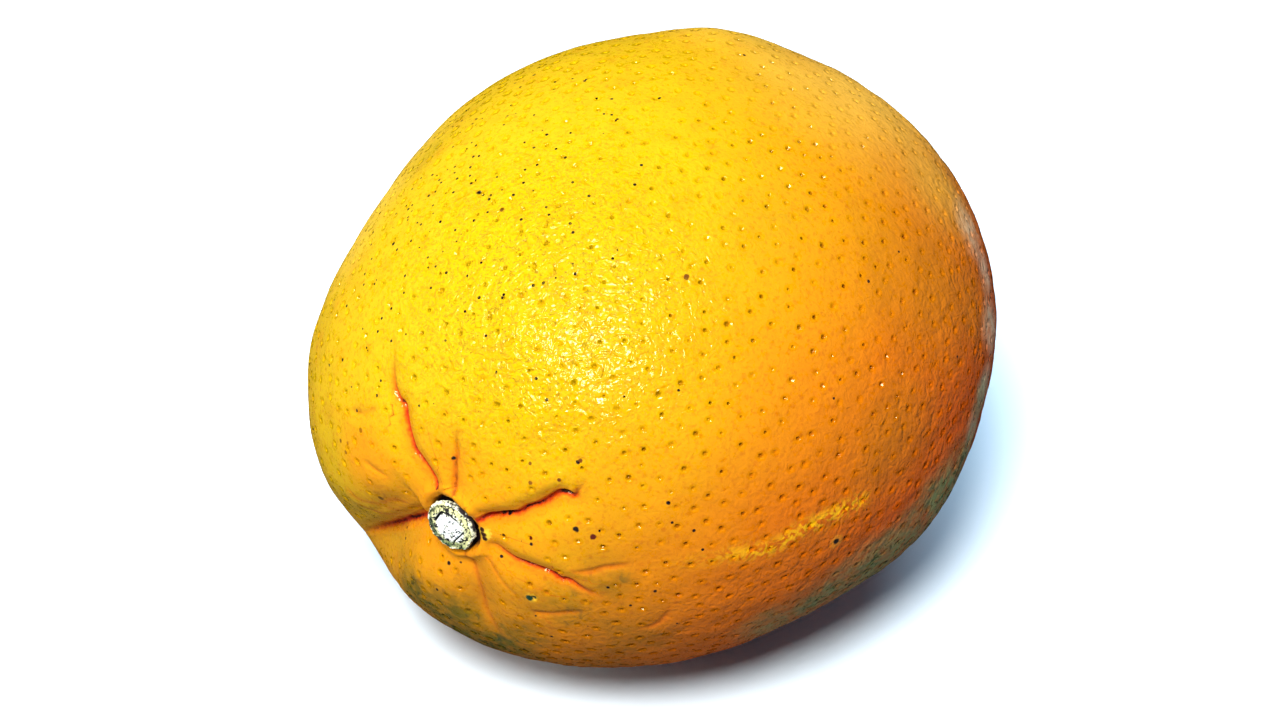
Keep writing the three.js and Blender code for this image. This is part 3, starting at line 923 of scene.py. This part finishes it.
def markMask(tree, group, place, fruit, marks, softness, raggedness=0.0):
    mask = None
    for polar, around, radius, strength in marks:
        spot = addNode(tree, "ShaderNodeGroup", node_tree=group)
        settings = {"Place": place, "Middle": surfacePlace(fruit, polar, around), "Radius": radius * mm,
                    "Softness": softness, "Raggedness": raggedness}
        setInputs(tree, spot, settings)
        one = times(tree, spot.outputs["Mask"], strength)
        mask = one if mask is None else maths(tree, 'MAXIMUM', mask, one)
    return mask


def towardsYellowAndLit(tree, place):    # how far a point lies that way from the middle of the fruit: 1 at its surface
    fromMiddle = vectorMaths(tree, 'SUBTRACT', place, fruitCentre)
    way = yellowAndLitWay / np.linalg.norm(yellowAndLitWay) / (yellowAndLitReach * mm)
    return vectorMaths(tree, 'DOT_PRODUCT', fromMiddle, way, result="Value")


def rampColour(tree, value, stops):
    made = addNode(tree, "ShaderNodeValToRGB", {"Fac": value})
    elements = made.color_ramp.elements
    while len(elements) < len(stops):
        elements.new(0.5)
    for element, (position, colour) in zip(elements, stops):
        element.position = position
        element.color = colour
    return made.outputs["Color"]


def groundColour(tree, place, look):    # yellow on the lit side, orange away from it and rusty underneath: partly the fruit's own colour, partly painted light and shade
    broad = centred(tree, noiseOf(tree, place, *look["groundNoise"]), look["groundWander"])
    yellowAndLit = maths(tree, 'ADD', towardsYellowAndLit(tree, place), broad)
    colour = rampColour(tree, scaled(tree, yellowAndLit, by=0.5, plus=0.5), groundStops)
    for name in ("mottle", "grain"):
        share = noiseRamp(tree, place, look[name + "Noise"], *look[name + "Ramp"])
        colour = blendColour(tree, times(tree, share, look[name + "Share"]), colour, rindColours[name])
    return colour


def addGlands(tree, place, look, colour):    # oil glands show as faint darker dots away from the yellow side
    cells = cellsOf(tree, place, look["glandScale"])
    chance = channelsOf(tree, cells["Color"])[0]
    dot = times(tree, ramped(tree, cells["Distance"], *look["glandRamp"]), chance)
    shaded = ramped(tree, towardsYellowAndLit(tree, place), *look["glandShade"])
    share = times(tree, dot, scaled(tree, shaded, *look["glandShare"]))
    return blendColour(tree, share, colour, rindColours["gland"])


def addPatches(tree, place, fruit, group, look, colour):    # smooth stains, and ragged ones broken up by noise; the pale and frosty patches at the rims are painted reflection, not stains
    ragged = centred(tree, noiseOf(tree, place, *look["patchNoise"]), look["patchRagged"])
    calm = centred(tree, noiseOf(tree, place, *look["calmNoise"]), look["calmRagged"])
    worn = noiseRamp(tree, place, look["wornNoise"], *look["wornRamp"])
    for name, patches in rindPatches.items():
        smooth = name in ("paintedSheen", "stemGold", "dull")
        mask = markMask(tree, group, place, fruit, patches, look["patchSoft"], calm if smooth else ragged)
        if not smooth:
            mask = times(tree, mask, scaled(tree, worn, by=0.5, plus=0.5))
        colour = blendColour(tree, mask, colour, rindColours[name])
        if name in ("olive", "greyGreen"):
            blotch = times(tree, mask, noiseRamp(tree, place, look["blotchNoise"], *look["blotchRamp"]))
            colour = blendColour(tree, blotch, colour, rindColours["blotch"])
    return colour


def addPitColours(tree, place, look, colour):    # fainter on the yellow side
    dot = ramped(tree, vertexValue(tree, "pitMiddle"), *look["pitRamp"])
    shaded = ramped(tree, towardsYellowAndLit(tree, place), *look["pitShade"])
    dot = times(tree, dot, scaled(tree, shaded, *look["pitShare"]))
    return blendColour(tree, times(tree, vertexValue(tree, "pit"), dot), colour, rindColours["pit"])


def addCreaseColours(tree, place, look, colour):    # an orange halo, a red blush and a broken dark line
    offset = maths(tree, 'ABSOLUTE', vertexValue(tree, "foldOffset"))
    strength = vertexValue(tree, "foldStrength")
    ragged = centred(tree, noiseOf(tree, place, *look["foldNoise"]), look["foldRagged"])
    offset = maths(tree, 'ADD', offset, ragged)
    for name, ramp, most in look["foldColours"]:
        share = times(tree, ramped(tree, offset, *ramp), strength)
        colour = blendColour(tree, times(tree, share, most), colour, rindColours[name])
    broken = noiseRamp(tree, place, look["foldBreaks"], *look["foldBreakRamp"])
    line = times(tree, ramped(tree, offset, *look["foldLine"]), strength)
    return blendColour(tree, times(tree, line, broken), colour, rindColours["foldDark"])


def addRub(tree, place, look, colour):
    worn = times(tree, vertexValue(tree, "rub"), noiseRamp(tree, place, look["rubNoise"], *look["rubRamp"]))
    return blendColour(tree, worn, colour, rindColours["scar"])


def addSpecks(tree, place, fruit, group, look, colour):    # tiny black specks, thickest on the upper front
    cells = cellsOf(tree, place, look["speckScale"])
    chances = channelsOf(tree, cells["Color"])
    region = markMask(tree, group, place, fruit, specked, look["speckSoft"])
    keep = maths(tree, 'LESS_THAN', chances[0], scaled(tree, region, *look["speckChance"]))
    size = scaled(tree, chances[1], *look["speckSize"])
    dot = maths(tree, 'LESS_THAN', cells["Distance"], size)
    return blendColour(tree, times(tree, dot, keep), colour, rindColours["black"])


def addMarks(tree, place, fruit, group, look, colour):    # pale rims first, then the marks inside them
    ragged = centred(tree, noiseOf(tree, place, *look["markNoise"]), look["markRagged"])
    rims = markMask(tree, group, place, fruit, rindRims, look["rimSoft"], ragged)
    colour = blendColour(tree, times(tree, rims, look["rimShare"]), colour, rindColours["markRim"])
    for name, marks in rindMarks.items():
        mask = markMask(tree, group, place, fruit, marks, look["markSoft"], ragged)
        colour = blendColour(tree, mask, colour, rindColours[name])
    return colour


def drawnGrain(tree, place, look, low):    # fine wrinkles that run round the fruit, on its underside
    drawn = stretched(tree, place, Scale=look["drawnScale"])
    return times(tree, noiseOf(tree, drawn, *look["drawnNoise"]), low)


def waxStreaks(tree, place, fruit, group, look):    # grain drawn out in short streaks
    along = stretched(tree, place, Rotation=look["streakTurn"], Scale=look["streakScale"])
    where = markMask(tree, group, place, fruit, streaked, look["streakSoft"])
    return times(tree, noiseOf(tree, along, *look["streakNoise"]), where)


def crazedSkin(tree, place, look, low):    # a broken net of shallow lines on the underside
    edges = cellsOf(tree, place, look["crazeScale"], 'DISTANCE_TO_EDGE')["Distance"]
    lines = times(tree, ramped(tree, edges, *look["crazeRamp"]), low)
    return times(tree, lines, noiseRamp(tree, place, look["crazeBreaks"], *look["crazeBreakRamp"]))


def rindHeight(tree, place, fruit, group, look, waxy):    # the fine relief, against reliefDepth
    low = ramped(tree, towardsYellowAndLit(tree, place), *lowRange)
    grain = noiseOf(tree, place, *look["grain"])
    height = scaled(tree, noiseOf(tree, place, *look["fine"]), look["fineShare"], grain)
    strength = scaled(tree, waxy, look["waxGrain"], scaled(tree, low, look["lowGrain"], look["evenGrain"]))
    height = times(tree, height, strength)
    pit = times(tree, ramped(tree, vertexValue(tree, "pitMiddle"), 0.0, 1.0), vertexValue(tree, "pit"))
    height = scaled(tree, pit, look["pitHeight"], height)
    height = scaled(tree, drawnGrain(tree, place, look, low), look["drawnHeight"], height)
    height = scaled(tree, crazedSkin(tree, place, look, low), look["crazeHeight"], height)
    return scaled(tree, waxStreaks(tree, place, fruit, group, look), look["streakHeight"], height)


def waxSpots(tree, place, look, waxy):    # where wax makes the rind wet, and a painted dark outline round those spots that goes with their glints
    wet = scaled(tree, waxy, look["waxWet"], noiseOf(tree, place, *look["wetNoise"]))
    edge = times(tree, ramped(tree, wet, *look["edgeInner"]), ramped(tree, wet, *look["edgeOuter"]))
    return ramped(tree, wet, *look["wetRamp"]), times(tree, edge, waxy)


def makeRind(fruit, group, look, relief, finish):
    material, tree, shader = startMaterial("orangeRind")
    place = addNode(tree, "ShaderNodeTexCoord").outputs["Object"]
    colour = groundColour(tree, place, look)
    colour = addGlands(tree, place, look, colour)
    colour = addPatches(tree, place, fruit, group, look, colour)
    colour = addPitColours(tree, place, look, colour)
    colour = addCreaseColours(tree, place, look, colour)
    colour = addRub(tree, place, look, colour)
    colour = addSpecks(tree, place, fruit, group, look, colour)
    colour = addMarks(tree, place, fruit, group, look, colour)
    # painted shade in the gap round the button, over the rind's own darker colour there
    colour = blendColour(tree, vertexValue(tree, "seat"), colour, rindColours["seatPaintedShade"])
    waxy = markMask(tree, group, place, fruit, waxed, relief["waxSoft"])
    wet, edge = waxSpots(tree, place, relief, waxy)
    # painted shade outlining the glints, strongest where the lamp's highlight falls
    colour = blendColour(tree, times(tree, edge, relief["glintOutlineShare"]), colour, rindColours["glintOutlineShade"])
    tree.links.new(colour, shader.inputs["Base Color"])
    addBump(tree, shader, rindHeight(tree, place, fruit, group, relief, waxy), finish["reliefDepth"])
    wet = maths(tree, 'MAXIMUM', ramped(tree, vertexValue(tree, "pit"), *finish["pitWet"]), wet)
    roughness = scaled(tree, wet, by=finish["wet"] - finish["dry"], plus=finish["dry"])
    tree.links.new(roughness, shader.inputs["Roughness"])
    shader.inputs["Specular IOR Level"].default_value = finish["specular"]
    shader.inputs["Specular Tint"].default_value = finish["tint"]
    shader.inputs["IOR"].default_value = finish["ior"]
    return material


buttonColours = {
    "plate": (0.95, 0.97, 0.92, 1), "rim": (0.80, 0.80, 0.58, 1), "groove": (0.012, 0.05, 0.018, 1),
    "tissue": (0.62, 0.60, 0.28, 1), "green": (0.13, 0.24, 0.025, 1), "crack": (0.006, 0.005, 0.006, 1),
    # the edge colour is painted shade on the button's outer side
    "edge": (0.012, 0.006, 0.008, 1),
}
# Ramps over the button are in shares of its radius: out from its middle, upwards or to the upper right.
woodLook = {
    "edgeNoise": (1000, 4), "edgeRagged": 0.34,
    "tissue": (0.50, 0.70),
    "footUp": (-0.42, -0.75), "footReach": (0.45, 0.62),
    "grooveInner": (0.74, 0.80), "grooveOuter": (0.93, 0.87), "grooveSide": (0.3, -0.5), "grooveShare": 0.9,
    "rim": (0.88, 0.93),
    "speckleReach": (0.45, 0.62), "speckleMore": 0.045,
    "speckleNoise": (2300, 3, 1.0), "speckle": (0.575, 0.61),
    "mottleNoise": (1200, 4), "mottle": (0.48, 0.66), "mottleShare": 0.45,
    "cut": (0.15, 0.5),
    # the edge ramp, and its lean to the upper right, place the painted shade on the outer side
    "edgeShadeLean": 0.05, "edge": (1.0, 1.05),
    "grainNoise": (3000, 3), "grainDepth": 0.12,    # mm
    "roughness": 0.8,
}


def makeButtonWood(look):
    material, tree, shader = startMaterial("buttonWood")
    place = addNode(tree, "ShaderNodeTexCoord").outputs["Object"]
    fromMiddle = vectorMaths(tree, 'SUBTRACT', place, tuple(buttonMiddle))
    flat = vectorMaths(tree, 'MULTIPLY', fromMiddle, (1, 0, 1))
    reach = vectorMaths(tree, 'LENGTH', flat, result="Value")
    reach = maths(tree, 'DIVIDE', reach, buttonRadius * buttonPlan["swell"] * mm)
    parts = addNode(tree, "ShaderNodeSeparateXYZ", {0: fromMiddle})
    across = maths(tree, 'DIVIDE', parts.outputs["X"], buttonRadius * mm)
    up = maths(tree, 'DIVIDE', parts.outputs["Z"], buttonRadius * mm)
    upperRight = maths(tree, 'ADD', up, across)
    ragged = centred(tree, noiseOf(tree, place, *look["edgeNoise"]), look["edgeRagged"])
    ragged = maths(tree, 'ADD', reach, ragged)
    # a pale scar inside greener tissue, a green foot, a dark groove inside the thin rim, and painted shade on
    # the outer side
    tissue = ramped(tree, ragged, *look["tissue"])
    colour = blendColour(tree, tissue, buttonColours["plate"], buttonColours["tissue"])
    foot = times(tree, ramped(tree, up, *look["footUp"]), ramped(tree, ragged, *look["footReach"]))
    colour = blendColour(tree, foot, colour, buttonColours["green"])
    ring = times(tree, ramped(tree, ragged, *look["grooveInner"]), ramped(tree, ragged, *look["grooveOuter"]))
    ring = times(tree, ring, ramped(tree, upperRight, *look["grooveSide"]))
    colour = blendColour(tree, times(tree, ring, look["grooveShare"]), colour, buttonColours["groove"])
    colour = blendColour(tree, ramped(tree, ragged, *look["rim"]), colour, buttonColours["rim"])
    mottle = noiseRamp(tree, place, look["mottleNoise"], *look["mottle"])
    colour = blendColour(tree, times(tree, mottle, look["mottleShare"]), colour, buttonColours["tissue"])
    more = ramped(tree, reach, *look["speckleReach"])
    speckle = scaled(tree, more, by=look["speckleMore"], plus=noiseOf(tree, place, *look["speckleNoise"]))
    dark = maths(tree, 'MAXIMUM', ramped(tree, vertexValue(tree, "cut"), *look["cut"]),
                 ramped(tree, speckle, *look["speckle"]))
    colour = blendColour(tree, dark, colour, buttonColours["crack"])
    # the outer side is painted near black, more to the upper right: painted shade of the gap round the button
    edge = maths(tree, 'ADD', ragged, times(tree, upperRight, look["edgeShadeLean"]))
    colour = blendColour(tree, ramped(tree, edge, *look["edge"]), colour, buttonColours["edge"])
    tree.links.new(colour, shader.inputs["Base Color"])
    addBump(tree, shader, noiseOf(tree, place, *look["grainNoise"]), look["grainDepth"])
    shader.inputs["Roughness"].default_value = look["roughness"]
    return material


stagePlan = {
    "floorSize": 3,    # metres
    "floorColour": (0.80, 0.91, 1.0, 1), "bounceColour": (0.25, 0.29, 0.34, 1), "floorRoughness": 0.95,
    "roomColour": (0.45, 0.75, 1, 1), "roomStrength": 0.13,
    "lamps": {    # offset and size in metres, power, colour, lights the faces, is seen in the gloss
        "keyLight": ((-0.11, 0.24, 0.83), 0.28, 13, (1, 0.985, 0.955), True, False),
        "glintLight": ((-0.15, 0.255, 0.82), 0.31, 15, (1, 0.985, 0.955), False, True),
        "fillLight": ((-0.80, 0.20, 0.35), 0.5, 3.2, (1, 0.95, 0.85), True, False),
        "topLight": ((0, 0.87, 0.63), 1.2, 15, (0.60, 0.82, 1), True, False),
    },
}


def setStage(plan):    # a floor that looks pale but throws little light back up, a dim room and soft lamps
    bpy.ops.object.select_all(action='DESELECT')
    bpy.ops.mesh.primitive_plane_add(size=plan["floorSize"], location=(0, 0, 0))
    floor = bpy.context.object
    floor.name = "floor"
    material, tree, shader = startMaterial("paleFloor")
    seen = addNode(tree, "ShaderNodeLightPath").outputs["Is Camera Ray"]
    colour = blendColour(tree, seen, plan["bounceColour"], plan["floorColour"])
    tree.links.new(colour, shader.inputs["Base Color"])
    shader.inputs["Roughness"].default_value = plan["floorRoughness"]
    floor.data.materials.append(material)
    floor.visible_glossy = False
    world = bpy.data.worlds.new("paleRoom")
    world.use_nodes = True
    world.node_tree.nodes["Background"].inputs["Color"].default_value = plan["roomColour"]
    world.node_tree.nodes["Background"].inputs["Strength"].default_value = plan["roomStrength"]
    bpy.context.scene.world = world
    world.cycles_visibility.glossy = False
    for name, settings in plan["lamps"].items():
        placeLight(name, *settings)
    bpy.context.scene.view_settings.view_transform = 'Standard'


placeCamera(cameraPlan)
fruit = makeFruit(fruitPlan)
fruit.data.materials.append(makeRind(fruit, makeSpotGroup(), rindLook, reliefLook, rindFinish))
print("rind coloured")
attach(fruit, "root")
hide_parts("fruit")
button = makeButton(buttonPlan)
button.data.materials.append(makeButtonWood(woodLook))
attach(button, "root")
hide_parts("stem_button")
setStage(stagePlan)
print("stage set")
